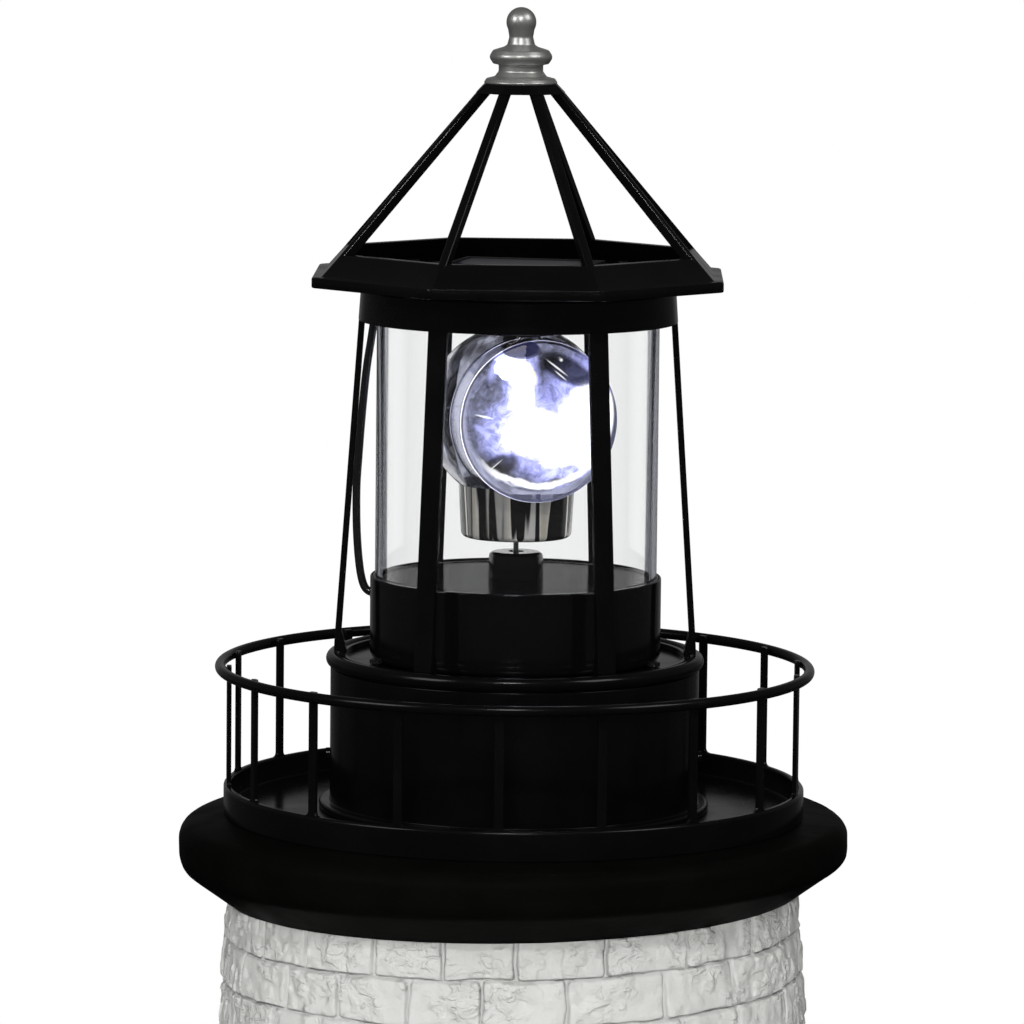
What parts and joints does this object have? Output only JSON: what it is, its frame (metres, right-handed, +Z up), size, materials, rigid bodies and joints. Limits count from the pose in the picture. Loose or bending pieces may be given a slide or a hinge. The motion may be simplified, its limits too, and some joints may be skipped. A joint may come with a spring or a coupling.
{
  "type": "garden lighthouse light",
  "caption": "Solar garden lighthouse ornament: white brick tower, railed gallery, glazed lantern with a turning bullseye beacon, open octagonal roof frame and ball finial.",
  "frame": {"origin": "middle of the underside", "axes": "+Z up along the tower, -Y towards the front"},
  "size_m": [0.336, 0.336, 0.9998],
  "materials": {
    "painted_brick": "cast stone with white-grey paint, matte",
    "black_paint": "satin black",
    "gloss_black": "glossy black",
    "dark_plastic": "matte black",
    "grey_paint": "satin grey metallic",
    "steel": "zinc plated",
    "motor_metal": "plain",
    "cell_sleeve": "glossy",
    "switch_knob": "matte",
    "mirror_chrome": "polished",
    "clear_globe": "clear, slightly blue",
    "lens_glass": "clear, with round steps",
    "chimney_glass": "clear",
    "lead_rubber": "glossy black",
    "board_green": "matte",
    "solar_cells": "glossy",
    "lamp_glow": "lit"
  },
  "bodies": {
    "lighthouse": {"tower_shell": "painted_brick", "base_plate": "dark_plastic", "base_screws": "steel", "cornice": "black_paint", "gallery_tray": "black_paint", "handrail": "black_paint", "gallery_screws": "steel", "watch_room_wall": "black_paint", "collar_screws": "steel", "lamp_deck": "black_paint", "lamp_base_can": "gloss_black", "can_screws": "steel", "can_top_plate": "gloss_black", "bearing_hub": "gloss_black", "gear_motor": "motor_metal", "motor_screws": "steel", "battery_holder": "dark_plastic", "battery_cells": "cell_sleeve", "switch_body": "dark_plastic", "switch_screws": "steel", "glass_chimney": "chimney_glass", "lantern_cage": "black_paint", "cage_screws": "steel", "lamp_lead": "lead_rubber", "lead_grommet": "lead_rubber", "pod_floor": "dark_plastic", "solar_pod": "dark_plastic", "control_board": "board_green", "board_screws": "steel", "solar_panel": "solar_cells", "lamp_holder": "dark_plastic", "lock_ring": "dark_plastic", "led_lamp": "lamp_glow", "roof_frame": "black_paint", "roof_screws": "steel", "finial": "grey_paint", "finial_stud": "steel"},
    "beacon": {"drive_shaft": "steel", "beacon_cup": "mirror_chrome", "globe_lower": "clear_globe", "globe_upper": "clear_globe", "bullseye_lens": "lens_glass"},
    "switch": {"switch_slider": "switch_knob"}
  },
  "joints": [
    {"name": "beacon_spin", "type": "hinge", "parent": "lighthouse", "child": "beacon", "pos_m": [0, 0, 0.757], "axis": [0, 0, 1], "continuous": true},
    {"name": "switch_slide", "type": "slide", "parent": "lighthouse", "child": "switch", "axis": [1, 0, 0], "range_m": [0, 0.004]}
  ]
}
